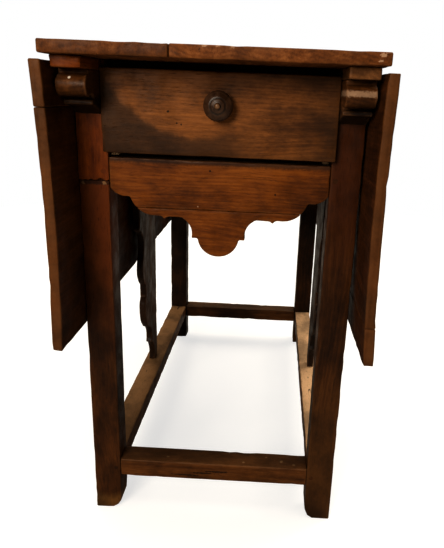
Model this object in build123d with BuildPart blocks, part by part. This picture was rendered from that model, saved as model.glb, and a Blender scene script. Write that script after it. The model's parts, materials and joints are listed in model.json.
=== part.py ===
from build123d import *
import math
import os

# An old walnut drop leaf table: a narrow fixed top on four square legs, a leaf hinged along
# each long side, and on each side a scalloped bracket that swings out to carry the raised leaf.
# Millimetres, +Z up, origin on the floor under the middle of the table.
# The drawer end faces -Y, the leaves hang at -X and +X.

# ---- driving dimensions --------------------------------------------------------------------
HEIGHT = 750.0
TOP_THICK = 16.0
TOP_WIDTH = 422.0
TOP_LENGTH = 1012.0
TOP_SEAM_X = -53.0            # the glue line between the two boards of the fixed top
CORNER_R = 5.0                # softened plan corners of the top
TOP_ARRIS = 2.5

LEAF_THICK = 15.0
LEAF_DROP = 384.0
LEAF_LENGTH = 1004.0
LEAF_CORNER_R = 8.0           # the free corners of the leaves
LEAF_CUP = 4.5                # the old boards have cupped: hollow on the show side
LEFT_STRIP = 56.0             # narrow board of the left leaf, next to the hinges
RIGHT_STRIP = 57.0            # narrow board of the right leaf, along its free edge

LEG = 44.0
FRAME_WIDTH = 406.0
FRAME_DEPTH = 800.0
FOOT_CHAMFER = 3.0
LEG_ARRIS = 1.2
PATCH_LOW = 570.0              # an old repair let into the face of the front left leg
PATCH_HIGH = 664.0
PATCH_DEEP = 6.0

STRETCHER_TOP = 98.0
STRETCHER_HIGH = 32.0
STRETCHER_WIDE = 41.0
STRETCHER_ARRIS = 1.5

APRON_THICK = 18.0
APRON_SETBACK = 2.0
FRONT_APRON_TOP = 604.0
APRON_SEAM_Z = 533.0          # the front apron is two boards, one above the other
BACK_APRON_LOW = 560.0
SIDE_APRON_LOW = 590.0
SIDE_APRON_THICK = 16.0
TOP_RAIL_INSET = 14.0
TOP_RAIL_HIGH = 10.0
BEARER_DEEP = 50.0            # the rail behind the front apron that the drawer slides in over
BEARER_HIGH = 18.0

PENDANT_R = 31.0
PENDANT_LOW = 463.0
STEP_IN = 30.7
STEP_OUT = 40.0
STEP_Z = 490.0

TENON_LONG = 15.0
TENON_THICK = 10.0
TENON_SHOULDER = 5.0
WIDE_TENON_UP = 15.0          # tenon of a wide rail, above its lower edge
WIDE_TENON_DOWN = 35.0        # and below the top of the leg
PEG_R = 3.5
PEG_DEEP = 32.0
PEG_SHY = 0.5                 # a peg stops short of the bottom of its hole
PEG_OFFSET = 8.0
TOP_PEG_DEEP = 30.0
HOLE_CLEARANCE = 0.05

CLEAT_HIGH = 15.0
CLEAT_REACH = 87.0            # how far the cleat runs out in front of the leg
CORBEL_LOW = 662.0
CORBEL_WIDE = 39.5            # leaves the drawer front room to slide out between them
ROLL_HIGH = 28.0
ROLL_TOP = 713.0
ROLL_REACH = 72.0
FILLET_REACH = 44.0
QUIRK_REACH = 58.0

DRAWER_FRONT_WIDE = 326.0
DRAWER_FRONT_LOW = 611.5
DRAWER_FRONT_HIGH = 112.5
DRAWER_PROUD = 13.5
DRAWER_DEEP = 382.0
DRAWER_BOARD = 11.0
DRAWER_LOW = 606.0
DRAWER_HIGH = 108.0
DRAWER_GAP = 3.0
DRAWER_LAP = 8.0              # how far the drawer front runs in behind the face of the legs
DRAWER_ARRIS = 2.0
LIP_GAP = 0.5
BOTTOM_RAISED = 6.0
BOTTOM_THICK = 7.0
GROOVE_DEEP = 5.0
KNOB_Z = 680.0
KNOB_R = 20.0
KNOB_LONG = 27.0
SPIGOT_R = 6.0
SPIGOT_LONG = 18.0
NIPPLE_R = 4.5
DOME_CENTRE = 1.6
DOME_EDGE = 17.0

RUNNER_WIDE = 16.0
RUNNER_HIGH = 15.0
RUNNER_GAP = 0.5
KICKER_GAP = 2.0
RUNNER_PAST_BOX = 40.0
STOP_RAIL_THICK = 20.0
STOP_RAIL_HIGH = 30.0

FLAG_THICK = 14.0
FLAG_INNER_X = 178.0
FLAG_BACK_Y = 20.0
FLAG_FRONT_Y = -225.0
FLAG_LOW = 99.0
FLAG_HIGH = 728.0
FLAG_PIVOT_Y = 8.0
FLAG_PIN_R = 4.5
FLAG_PIN_CLEARANCE = 0.3
FLAG_PIN_IN_FLAG = 28.0
FLAG_PIN_IN_TOP = 9.0
FLAG_PIN_IN_STRETCHER = 12.0

HINGE_Y = (-310.0, 80.0, 310.0)
HINGE_LONG = 56.0
HINGE_PLATE = 2.0
HINGE_PLATE_WIDE = 25.0
BARREL_R = 3.2
HINGE_PIN_R = 1.5
HINGE_PIN_CLEARANCE = 0.1
PLATE_GAP = 0.4               # between the edge of a plate and the barrel
KNUCKLES = 5
KNUCKLE_GAP = 0.3
SCREW_R = 1.4
SCREW_HEAD_R = 3.0
SCREW_LONG = 9.0
SCREW_OFFSETS = (-17.0, 17.0)
PIVOT_INBOARD = 4.5           # hinge line, in from the edge of the fixed top
PIVOT_BELOW = 2.0             # and below its underside

# ---- derived places ------------------------------------------------------------------------
UNDERSIDE = HEIGHT - TOP_THICK
LEG_X = FRAME_WIDTH / 2 - LEG / 2
LEG_Y = FRAME_DEPTH / 2 - LEG / 2
INSIDE_X = FRAME_WIDTH / 2 - LEG
INSIDE_Y = FRAME_DEPTH / 2 - LEG
FRONT_Y = -FRAME_DEPTH / 2
PIVOT_X = TOP_WIDTH / 2 - PIVOT_INBOARD
PIVOT_Z = UNDERSIDE - PIVOT_BELOW
LEAF_INNER_X = PIVOT_X + PIVOT_BELOW
LEAF_TOP_Z = PIVOT_Z - PIVOT_INBOARD
LEAF_LOW_Z = LEAF_TOP_Z - LEAF_DROP
STRETCHER_LOW = STRETCHER_TOP - STRETCHER_HIGH
FLAG_X = FLAG_INNER_X + FLAG_THICK / 2
CORBEL_X = FRAME_WIDTH / 2 - CORBEL_WIDE / 2
APRON_BACK = FRONT_Y + APRON_SETBACK + APRON_THICK
BOX_X = INSIDE_X - DRAWER_GAP
BOX_FRONT = FRONT_Y + DRAWER_LAP
BOX_BACK = FRONT_Y + DRAWER_DEEP
BOX_TOP = DRAWER_LOW + DRAWER_HIGH
DRAWER_FRONT_MID = DRAWER_FRONT_LOW + DRAWER_FRONT_HIGH / 2
BOTTOM_LOW = DRAWER_LOW + BOTTOM_RAISED
RUNNER_TOP = DRAWER_LOW - RUNNER_GAP
KNOB_SEAT = FRONT_Y - DRAWER_PROUD - LIP_GAP
DOME_R = math.hypot(KNOB_LONG - DOME_CENTRE, NIPPLE_R)
PLATE_EDGE = BARREL_R + PLATE_GAP
LEAF_SCREW_Z = PIVOT_Z - PLATE_EDGE - HINGE_PLATE_WIDE / 2
TOP_SCREW_X = PIVOT_X - PLATE_EDGE - HINGE_PLATE_WIDE / 2
KNUCKLE_STEP = HINGE_LONG / KNUCKLES
SIDE_TENONS = ((STRETCHER_LOW + TENON_SHOULDER, STRETCHER_TOP - TENON_SHOULDER),
               (SIDE_APRON_LOW + WIDE_TENON_UP, UNDERSIDE - WIDE_TENON_DOWN))
SIDES = (("left", -1), ("right", 1))
ENDS = (("front", -1), ("back", 1))

os.makedirs("parts", exist_ok=True)


def save(piece, label):
    piece.part.label = label
    export_step(piece.part, f"parts/{label}.step")


def block(xs, ys, zs, mode=Mode.ADD):
    """A squared block between two x, two y and two z places, given in any order."""
    x0, x1 = sorted(xs)
    y0, y1 = sorted(ys)
    z0, z1 = sorted(zs)
    with Locations(((x0 + x1) / 2, (y0 + y1) / 2, (z0 + z1) / 2)):
        Box(x1 - x0, y1 - y0, z1 - z0, mode=mode)


def rod(start, direction, length, radius, mode=Mode.ADD):
    """A round rod from a start point along a direction."""
    with Locations(Plane(origin=start, z_dir=direction)):
        Cylinder(radius, length, align=(Align.CENTER, Align.CENTER, Align.MIN), mode=mode)


# ---- the fixed top -------------------------------------------------------------------------
def top_board(x_from, x_to):
    """One board of the top, with a softened show arris and the outer plan corners rounded."""
    outer = x_from if abs(x_from) > abs(x_to) else x_to
    side = 1 if outer > 0 else -1
    with BuildPart() as board:
        block((x_from, x_to), (-TOP_LENGTH / 2, TOP_LENGTH / 2), (UNDERSIDE, HEIGHT))
        corners = board.edges().filter_by(Axis.Z).group_by(Axis.X)[-1 if side > 0 else 0]
        fillet(corners, CORNER_R)
        rim = board.faces().sort_by(Axis.Z)[-1].edges()
        seam_side = rim.sort_by(Axis.X)[0 if side > 0 else -1]
        fillet([edge for edge in rim if edge is not seam_side], TOP_ARRIS)
        rod((side * FLAG_X, FLAG_PIVOT_Y, UNDERSIDE), (0, 0, 1), FLAG_PIN_IN_TOP + 1,
            FLAG_PIN_R + FLAG_PIN_CLEARANCE, Mode.SUBTRACT)
        for y in HINGE_Y:
            block((outer, side * (PIVOT_X - PLATE_EDGE - PLATE_GAP)),
                  (y - HINGE_LONG / 2 - 2, y + HINGE_LONG / 2 + 2),
                  (UNDERSIDE, UNDERSIDE + PIVOT_BELOW), Mode.SUBTRACT)
        for x, y, z, radius in top_screw_holes(side):
            rod((x, y, z), (0, 0, 1), SCREW_LONG + 1, radius, Mode.SUBTRACT)
        for x, y in top_peg_places():
            if min(x_from, x_to) < x < max(x_from, x_to):
                rod((x, y, UNDERSIDE), (0, 0, 1), TOP_THICK, PEG_R + HOLE_CLEARANCE, Mode.SUBTRACT)
    return board


def top_screw_holes(side):
    """Centre, start height and radius of every hinge screw hole in the underside of the top."""
    return [(side * TOP_SCREW_X, y + step, UNDERSIDE, SCREW_R + HOLE_CLEARANCE)
            for y in HINGE_Y for step in SCREW_OFFSETS]


def top_peg_places():
    """The oak pegs that hold the top down on the legs."""
    return [(x * LEG_X, y * LEG_Y) for x in (-1, 1) for y in (-1, 1)]


save(top_board(TOP_SEAM_X, -TOP_WIDTH / 2), "top_board_narrow")
save(top_board(TOP_SEAM_X, TOP_WIDTH / 2), "top_board_wide")


# ---- the leaves ----------------------------------------------------------------------------
def leaf_board(side, drop_from, drop_to):
    """A stretch of the cupped leaf section, from one drop below its top edge to another."""
    inner = side * LEAF_INNER_X
    outer = side * (LEAF_INNER_X + LEAF_THICK)
    cup = side * LEAF_CUP
    middle = LEAF_TOP_Z - LEAF_DROP / 2
    with BuildPart() as board:
        with BuildSketch(Plane.XZ.offset(-LEAF_LENGTH / 2)):
            with BuildLine():
                ThreePointArc((inner, LEAF_TOP_Z), (inner - cup, middle), (inner, LEAF_LOW_Z))
                Line((inner, LEAF_LOW_Z), (outer, LEAF_LOW_Z))
                ThreePointArc((outer, LEAF_LOW_Z), (outer - cup, middle), (outer, LEAF_TOP_Z))
                Line((outer, LEAF_TOP_Z), (inner, LEAF_TOP_Z))
            make_face()
        extrude(amount=LEAF_LENGTH)
        if drop_to == LEAF_DROP:
            fillet(board.edges().filter_by(Axis.X).group_by(Axis.Z)[0], LEAF_CORNER_R)
        if drop_from > 0:
            split(bisect_by=Plane.XY.offset(LEAF_TOP_Z - drop_from), keep=Keep.BOTTOM)
        if drop_to < LEAF_DROP:
            split(bisect_by=Plane.XY.offset(LEAF_TOP_Z - drop_to), keep=Keep.TOP)
        if drop_from == 0:
            for y in HINGE_Y:
                block((side * (LEAF_INNER_X - LEAF_THICK), inner),
                      (y - HINGE_LONG / 2, y + HINGE_LONG / 2),
                      (LEAF_TOP_Z + 1, PIVOT_Z - PLATE_EDGE - HINGE_PLATE_WIDE), Mode.SUBTRACT)
                for step in SCREW_OFFSETS:
                    rod((inner, y + step, LEAF_SCREW_Z), (side, 0, 0), SCREW_LONG + 1,
                        SCREW_R + HOLE_CLEARANCE, Mode.SUBTRACT)
    return board


save(leaf_board(-1, 0, LEFT_STRIP), "left_leaf_hinge_board")
save(leaf_board(-1, LEFT_STRIP, LEAF_DROP), "left_leaf_main_board")
save(leaf_board(1, 0, LEAF_DROP - RIGHT_STRIP), "right_leaf_main_board")
save(leaf_board(1, LEAF_DROP - RIGHT_STRIP, LEAF_DROP), "right_leaf_edge_board")


# ---- legs, with their mortises and peg holes ------------------------------------------------
# Every rail is tenoned into the leg. A rail that runs along X enters the inner x face, and a
# rail that runs along Y enters the inner y face, so the two tenons miss each other inside.
def rail_tenons(end):
    """Low and high z of each tenon that a front or back leg takes from the rails along X."""
    shoulder = TENON_SHOULDER
    heights = [(STRETCHER_LOW + shoulder, STRETCHER_TOP - shoulder)]
    if end == "front":
        heights.append((APRON_SEAM_Z + WIDE_TENON_DOWN, FRONT_APRON_TOP - shoulder))
    else:
        heights.append((BACK_APRON_LOW + WIDE_TENON_UP, UNDERSIDE - WIDE_TENON_DOWN))
    return heights


def leg_pegs(end_name, end, side):
    """Start point and inward direction of each peg in one leg."""
    pegs = []
    for low, high in rail_tenons(end_name):
        pegs.append(((side * (INSIDE_X + TENON_LONG / 2), end * FRAME_DEPTH / 2, (low + high) / 2),
                     (0, -end, 0)))
    for low, high in SIDE_TENONS:
        height = (low + high) / 2 + PEG_OFFSET
        pegs.append(((side * FRAME_WIDTH / 2, end * (INSIDE_Y + TENON_LONG / 2), height), (-side, 0, 0)))
    return pegs


def side_rail_centre(low):
    """The side stretchers stand mid-leg, the side aprons flush with the inside of the legs."""
    return LEG_X if low < STRETCHER_TOP else INSIDE_X + SIDE_APRON_THICK / 2


def leg(end_name, end, side):
    with BuildPart() as post:
        block((side * INSIDE_X, side * FRAME_WIDTH / 2), (end * INSIDE_Y, end * FRAME_DEPTH / 2),
              (0, UNDERSIDE))
        chamfer(post.faces().sort_by(Axis.Z)[0].edges(), FOOT_CHAMFER)
        chamfer(post.edges().filter_by(Axis.Z), LEG_ARRIS)
        for low, high in rail_tenons(end_name):
            block((side * INSIDE_X, side * (INSIDE_X + TENON_LONG)),
                  (end * LEG_Y - TENON_THICK / 2, end * LEG_Y + TENON_THICK / 2),
                  (low, high), Mode.SUBTRACT)
        for low, high in SIDE_TENONS:
            centre = side * side_rail_centre(low)
            block((centre - TENON_THICK / 2, centre + TENON_THICK / 2),
                  (end * INSIDE_Y, end * (INSIDE_Y + TENON_LONG)), (low, high), Mode.SUBTRACT)
        for start, direction in leg_pegs(end_name, end, side):
            rod(start, direction, PEG_DEEP, PEG_R + HOLE_CLEARANCE, Mode.SUBTRACT)
        rod((side * LEG_X, end * LEG_Y, UNDERSIDE), (0, 0, -1), TOP_PEG_DEEP,
            PEG_R + HOLE_CLEARANCE, Mode.SUBTRACT)
        if end < 0 and side < 0:
            block((-INSIDE_X, -FRAME_WIDTH / 2), (FRONT_Y, FRONT_Y + PATCH_DEEP),
                  (PATCH_LOW, PATCH_HIGH), Mode.SUBTRACT)
    return post


for end_name, end in ENDS:
    for side_name, side in SIDES:
        save(leg(end_name, end, side), f"{end_name}_{side_name}_leg")

# An old repair: a slip of redder wood let into the face of the front left leg.
with BuildPart() as patch:
    block((-INSIDE_X, -FRAME_WIDTH / 2), (FRONT_Y, FRONT_Y + PATCH_DEEP), (PATCH_LOW, PATCH_HIGH))
    chamfer(patch.edges().filter_by(Axis.Z).group_by(Axis.Y)[0], LEG_ARRIS)
    for start, direction in leg_pegs("front", -1, -1):
        rod(start, direction, PEG_DEEP, PEG_R + HOLE_CLEARANCE, Mode.SUBTRACT)
save(patch, "front_left_leg_patch")


# ---- rails ---------------------------------------------------------------------------------
def peg_holes():
    for end_name, end in ENDS:
        for side_name, side in SIDES:
            for start, direction in leg_pegs(end_name, end, side):
                rod(start, direction, PEG_DEEP, PEG_R + HOLE_CLEARANCE, Mode.SUBTRACT)


def cross_tenons(end, low, high):
    for side in (-1, 1):
        block((side * INSIDE_X, side * (INSIDE_X + TENON_LONG)),
              (end * LEG_Y - TENON_THICK / 2, end * LEG_Y + TENON_THICK / 2), (low, high))


def side_tenons(side, low, high):
    centre = side * side_rail_centre(low)
    for end in (-1, 1):
        block((centre - TENON_THICK / 2, centre + TENON_THICK / 2),
              (end * INSIDE_Y, end * (INSIDE_Y + TENON_LONG)), (low, high))


for end_name, end in ENDS:
    with BuildPart() as stretcher:
        block((-INSIDE_X, INSIDE_X),
              (end * LEG_Y - STRETCHER_WIDE / 2, end * LEG_Y + STRETCHER_WIDE / 2),
              (STRETCHER_LOW, STRETCHER_TOP))
        chamfer(stretcher.edges().filter_by(Axis.X), STRETCHER_ARRIS)
        cross_tenons(end, *rail_tenons(end_name)[0])
        peg_holes()
    save(stretcher, f"{end_name}_stretcher")

for side_name, side in SIDES:
    with BuildPart() as stretcher:
        block((side * LEG_X - STRETCHER_WIDE / 2, side * LEG_X + STRETCHER_WIDE / 2),
              (-INSIDE_Y, INSIDE_Y), (STRETCHER_LOW, STRETCHER_TOP))
        chamfer(stretcher.edges().filter_by(Axis.Y), STRETCHER_ARRIS)
        side_tenons(side, *SIDE_TENONS[0])
        peg_holes()
        rod((side * FLAG_X, FLAG_PIVOT_Y, STRETCHER_TOP), (0, 0, -1), FLAG_PIN_IN_STRETCHER + 1,
            FLAG_PIN_R + FLAG_PIN_CLEARANCE, Mode.SUBTRACT)
    save(stretcher, f"{side_name}_stretcher")

    with BuildPart() as apron:
        block((side * INSIDE_X, side * (INSIDE_X + SIDE_APRON_THICK)), (-INSIDE_Y, INSIDE_Y),
              (SIDE_APRON_LOW, UNDERSIDE))
        side_tenons(side, *SIDE_TENONS[1])
        peg_holes()
    save(apron, f"{side_name}_apron")

with BuildPart() as back_apron:
    block((-INSIDE_X, INSIDE_X),
          (-FRONT_Y - APRON_SETBACK, -FRONT_Y - APRON_SETBACK - APRON_THICK),
          (BACK_APRON_LOW, UNDERSIDE))
    cross_tenons(1, *rail_tenons("back")[1])
    peg_holes()
save(back_apron, "back_apron")

with BuildPart() as top_rail:
    block((-INSIDE_X, INSIDE_X), (FRONT_Y + TOP_RAIL_INSET, FRONT_Y + LEG),
          (UNDERSIDE - TOP_RAIL_HIGH, UNDERSIDE))
save(top_rail, "front_top_rail")

with BuildPart() as bearer:
    block((-(INSIDE_X - RUNNER_WIDE), INSIDE_X - RUNNER_WIDE), (APRON_BACK, APRON_BACK + BEARER_DEEP),
          (FRONT_APRON_TOP - BEARER_HIGH, FRONT_APRON_TOP))
save(bearer, "drawer_bearer")


# ---- the scalloped front apron ---------------------------------------------------------------
# The lower edge runs out from the middle: a half-round pendant, a small square step, a hollow,
# a flat with a pointed nib, a full round, and a shallow ogee that dies into the leg.
def front_apron():
    half = INSIDE_X
    bow = PENDANT_R * math.sin(math.radians(45))
    with BuildPart() as apron:
        with BuildSketch(Plane.XZ.offset(-FRONT_Y - APRON_SETBACK)):
            with BuildLine():
                ThreePointArc((0, PENDANT_LOW), (bow, PENDANT_LOW + PENDANT_R - bow),
                              (STEP_IN, STEP_Z))
                Line((STEP_IN, STEP_Z), (STEP_OUT, STEP_Z))
                ThreePointArc((STEP_OUT, STEP_Z), (43.7, 511), (55, 520.5))
                Line((55, 520.5), (71, 520.5))
                ThreePointArc((71, 520.5), (76.5, 519.6), (80, 516.5))
                ThreePointArc((80, 516.5), (83, 520.2), (88, 521.5))
                ThreePointArc((88, 521.5), (113, 526.5), (130, 548.5))
                ThreePointArc((130, 548.5), (147, 550.5), (half, 560))
                Line((half, 560), (half, FRONT_APRON_TOP))
                Line((half, FRONT_APRON_TOP), (0, FRONT_APRON_TOP))
                Line((0, FRONT_APRON_TOP), (0, PENDANT_LOW))
            make_face()
            mirror(about=Plane.YZ)
        extrude(amount=-APRON_THICK)
        cross_tenons(-1, *rail_tenons("front")[1])
        peg_holes()
    return apron


with front_apron() as upper:
    split(bisect_by=Plane.XY.offset(APRON_SEAM_Z), keep=Keep.TOP)
save(upper, "front_apron_board")

with front_apron() as pendant:
    split(bisect_by=Plane.XY.offset(APRON_SEAM_Z), keep=Keep.BOTTOM)
save(pendant, "front_apron_pendant")


# ---- corbels and cleats under the overhanging ends -----------------------------------------
# From the top down: a quirk under the cleat, a half-round roll, a hollow and a square fillet.
def corbel(end, side):
    """The moulded bracket, drawn as distances out from the face of the leg."""
    roll_low = ROLL_TOP - ROLL_HIGH
    face = end * FRAME_DEPTH / 2
    roll_flat = ROLL_REACH - ROLL_HIGH / 2
    with BuildPart() as bracket:
        with BuildSketch(Plane.YZ.offset(side * CORBEL_X)):
            with BuildLine():
                Line((face, UNDERSIDE - CLEAT_HIGH), (face + end * QUIRK_REACH, UNDERSIDE - CLEAT_HIGH))
                Line((face + end * QUIRK_REACH, UNDERSIDE - CLEAT_HIGH), (face + end * roll_flat, ROLL_TOP))
                ThreePointArc((face + end * roll_flat, ROLL_TOP),
                              (face + end * ROLL_REACH, ROLL_TOP - ROLL_HIGH / 2),
                              (face + end * roll_flat, roll_low))
                ThreePointArc((face + end * roll_flat, roll_low),
                              (face + end * 44, roll_low + 2.5), (face + end * 36, roll_low - 2))
                Line((face + end * 36, roll_low - 2), (face + end * FILLET_REACH, roll_low - 4))
                Line((face + end * FILLET_REACH, roll_low - 4), (face + end * FILLET_REACH, roll_low - 10))
                ThreePointArc((face + end * FILLET_REACH, roll_low - 10),
                              (face + end * 20, CORBEL_LOW + 8), (face, CORBEL_LOW))
                Line((face, CORBEL_LOW), (face, UNDERSIDE - CLEAT_HIGH))
            make_face()
        extrude(amount=CORBEL_WIDE / 2, both=True)
    return bracket


for end_name, end in ENDS:
    for side_name, side in SIDES:
        save(corbel(end, side), f"{end_name}_{side_name}_corbel")
        with BuildPart() as cleat:
            block((side * (FRAME_WIDTH / 2 - CORBEL_WIDE), side * FRAME_WIDTH / 2),
                  (end * FRAME_DEPTH / 2, end * (FRAME_DEPTH / 2 + CLEAT_REACH)),
                  (UNDERSIDE - CLEAT_HIGH, UNDERSIDE))
            chamfer(cleat.faces().sort_by(Axis.Y)[0 if end < 0 else -1].edges(), 1.0)
        save(cleat, f"{end_name}_{side_name}_cleat")


# ---- the drawer ----------------------------------------------------------------------------
with BuildPart() as drawer_front:
    with BuildSketch(Plane.XZ.offset(-FRONT_Y + LIP_GAP)):
        with Locations((0, DRAWER_FRONT_MID)):
            Rectangle(DRAWER_FRONT_WIDE, DRAWER_FRONT_HIGH)
    extrude(amount=DRAWER_PROUD)
    fillet(drawer_front.faces().sort_by(Axis.Y)[0].edges(), DRAWER_ARRIS)
    block((-BOX_X, BOX_X), (FRONT_Y - LIP_GAP, BOX_FRONT), (DRAWER_FRONT_LOW + 3, BOX_TOP))
    rod((0, KNOB_SEAT, KNOB_Z), (0, 1, 0), SPIGOT_LONG + 2, SPIGOT_R + HOLE_CLEARANCE, Mode.SUBTRACT)
save(drawer_front, "drawer_front")

for side_name, side in SIDES:
    with BuildPart() as drawer_side:
        block((side * BOX_X, side * (BOX_X - DRAWER_BOARD)), (BOX_FRONT, BOX_BACK),
              (DRAWER_LOW, BOX_TOP))
        block((side * (BOX_X - DRAWER_BOARD), side * (BOX_X - DRAWER_BOARD + GROOVE_DEEP)),
              (BOX_FRONT, BOX_BACK - DRAWER_BOARD), (BOTTOM_LOW, BOTTOM_LOW + BOTTOM_THICK),
              Mode.SUBTRACT)
    save(drawer_side, f"drawer_{side_name}_side")

with BuildPart() as drawer_back:
    block((-BOX_X + DRAWER_BOARD, BOX_X - DRAWER_BOARD), (BOX_BACK, BOX_BACK - DRAWER_BOARD),
          (DRAWER_LOW, BOX_TOP - 4))
save(drawer_back, "drawer_back")

with BuildPart() as drawer_bottom:
    block((-BOX_X + DRAWER_BOARD - GROOVE_DEEP, BOX_X - DRAWER_BOARD + GROOVE_DEEP),
          (BOX_FRONT, BOX_BACK - DRAWER_BOARD), (BOTTOM_LOW, BOTTOM_LOW + BOTTOM_THICK))
save(drawer_bottom, "drawer_bottom")

# The turned knob: a spigot through the front, a waisted neck, a low dome and a small nipple.
# Its outline runs along the turning axis, with distances out from the face of the drawer.
dome_start = math.degrees(math.asin(DOME_EDGE / DOME_R))
dome_end = math.degrees(math.asin(NIPPLE_R / DOME_R))
with BuildPart() as drawer_knob:
    with BuildSketch(Plane(origin=(0, KNOB_SEAT, KNOB_Z), x_dir=(0, -1, 0), z_dir=(1, 0, 0))):
        with BuildLine():
            Line((-SPIGOT_LONG, 0), (-SPIGOT_LONG, -SPIGOT_R))
            Line((-SPIGOT_LONG, -SPIGOT_R), (0, -SPIGOT_R))
            Line((0, -SPIGOT_R), (0, -11))
            ThreePointArc((0, -11), (5, -9.5), (9, -13))
            dome = CenterArc((DOME_CENTRE, 0), DOME_R, -dome_start, dome_start - dome_end)
            ThreePointArc((9, -13), (14.5, -KNOB_R), dome @ 0)
            CenterArc((KNOB_LONG, 0), NIPPLE_R, -90, 90)
            Line((KNOB_LONG + NIPPLE_R, 0), (-SPIGOT_LONG, 0))
        make_face()
    revolve(axis=Axis((0, 0, KNOB_Z), (0, -1, 0)))
save(drawer_knob, "drawer_knob")

# Runners under the drawer sides and kickers above them, nailed to the side aprons.
for side_name, side in SIDES:
    for label, low, high in (("runner", RUNNER_TOP - RUNNER_HIGH, RUNNER_TOP),
                             ("kicker", BOX_TOP + KICKER_GAP, UNDERSIDE)):
        with BuildPart() as batten:
            block((side * INSIDE_X, side * (INSIDE_X - RUNNER_WIDE)),
                  (FRONT_Y + LEG + 1, BOX_BACK + RUNNER_PAST_BOX), (low, high))
            chamfer(batten.edges().filter_by(Axis.Y), 1.0)
        save(batten, f"drawer_{side_name}_{label}")

with BuildPart() as drawer_stop:
    stop_top = BOX_TOP + KICKER_GAP
    block((-INSIDE_X, INSIDE_X), (BOX_BACK + 1, BOX_BACK + 1 + STOP_RAIL_THICK),
          (stop_top - STOP_RAIL_HIGH, stop_top))
save(drawer_stop, "drawer_stop_rail")


# ---- the swinging brackets -------------------------------------------------------------------
# The free edge steps in from the wide head to a slim foot: a long ogee, a nib, a hollow and a
# round, a nick, a second round, a nick, and a last small hollow above the foot.
def flag(side):
    back = FLAG_BACK_Y
    front = FLAG_FRONT_Y
    with BuildPart() as bracket:
        with BuildSketch(Plane.YZ.offset(side * FLAG_X)):
            with BuildLine():
                Line((back, FLAG_LOW), (back, FLAG_HIGH))
                Line((back, FLAG_HIGH), (front, FLAG_HIGH))
                Line((front, FLAG_HIGH), (front, 650))
                ThreePointArc((front, 650), (-213, 590), (-172, 545))
                ThreePointArc((-172, 545), (-138, 505), (-128, 452))
                Line((-128, 452), (-136, 436))
                Line((-136, 436), (-122, 430))
                ThreePointArc((-122, 430), (-98, 402), (-104, 372))
                ThreePointArc((-104, 372), (-112, 342), (-87, 308))
                Line((-87, 308), (-84, 282))
                Line((-84, 282), (-94, 270))
                ThreePointArc((-94, 270), (-91, 232), (-56, 200))
                ThreePointArc((-56, 200), (-38, 184), (-34, 164))
                Line((-34, 164), (-38, 156))
                ThreePointArc((-38, 156), (-16, 140), (-8, FLAG_LOW))
                Line((-8, FLAG_LOW), (back, FLAG_LOW))
            make_face()
        extrude(amount=FLAG_THICK / 2, both=True)
        for height, inward in ((FLAG_LOW, 1), (FLAG_HIGH, -1)):
            rod((side * FLAG_X, FLAG_PIVOT_Y, height), (0, 0, inward), FLAG_PIN_IN_FLAG, FLAG_PIN_R,
                Mode.SUBTRACT)
    return bracket


for side_name, side in SIDES:
    save(flag(side), f"{side_name}_flag")
    with BuildPart() as pins:
        for low, high in ((STRETCHER_TOP - FLAG_PIN_IN_STRETCHER, FLAG_LOW + FLAG_PIN_IN_FLAG),
                          (FLAG_HIGH - FLAG_PIN_IN_FLAG, UNDERSIDE + FLAG_PIN_IN_TOP)):
            rod((side * FLAG_X, FLAG_PIVOT_Y, low), (0, 0, 1), high - low, FLAG_PIN_R)
    save(pins, f"{side_name}_flag_pins")


# ---- iron hinges ---------------------------------------------------------------------------
def knuckle_spans(y, first):
    """The y range of every second knuckle of a hinge centred on y."""
    start = y - HINGE_LONG / 2
    return [(start + i * KNUCKLE_STEP + KNUCKLE_GAP / 2, start + (i + 1) * KNUCKLE_STEP - KNUCKLE_GAP / 2)
            for i in range(first, KNUCKLES, 2)]


def top_plates(side):
    plate_edge = PIVOT_X - PLATE_EDGE
    with BuildPart() as plates:
        for y in HINGE_Y:
            block((side * (plate_edge - HINGE_PLATE_WIDE), side * plate_edge),
                  (y - HINGE_LONG / 2, y + HINGE_LONG / 2), (UNDERSIDE - HINGE_PLATE, UNDERSIDE))
            for low, high in knuckle_spans(y, 0):
                block((side * plate_edge, side * PIVOT_X), (low, high),
                      (UNDERSIDE - HINGE_PLATE, UNDERSIDE))
                rod((side * PIVOT_X, low, PIVOT_Z), (0, 1, 0), high - low, BARREL_R)
            rod((side * PIVOT_X, y - HINGE_LONG, PIVOT_Z), (0, 1, 0), 2 * HINGE_LONG,
                HINGE_PIN_R, Mode.SUBTRACT)
            for step in SCREW_OFFSETS:
                rod((side * TOP_SCREW_X, y + step, UNDERSIDE - HINGE_PLATE - 1),
                    (0, 0, 1), HINGE_PLATE + 1, SCREW_HEAD_R + HOLE_CLEARANCE, Mode.SUBTRACT)
    return plates


def leaf_plates(side):
    plate_top = PIVOT_Z - PLATE_EDGE
    with BuildPart() as plates:
        for y in HINGE_Y:
            block((side * PIVOT_X, side * LEAF_INNER_X), (y - HINGE_LONG / 2, y + HINGE_LONG / 2),
                  (plate_top - HINGE_PLATE_WIDE, plate_top))
            for low, high in knuckle_spans(y, 1):
                block((side * PIVOT_X, side * LEAF_INNER_X), (low, high), (plate_top, PIVOT_Z))
                rod((side * PIVOT_X, low, PIVOT_Z), (0, 1, 0), high - low, BARREL_R)
            rod((side * PIVOT_X, y - HINGE_LONG, PIVOT_Z), (0, 1, 0), 2 * HINGE_LONG,
                HINGE_PIN_R + HINGE_PIN_CLEARANCE, Mode.SUBTRACT)
            for step in SCREW_OFFSETS:
                rod((side * (PIVOT_X - 1), y + step, LEAF_SCREW_Z), (side, 0, 0),
                    HINGE_PLATE + 1, SCREW_HEAD_R + HOLE_CLEARANCE, Mode.SUBTRACT)
    return plates


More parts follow.
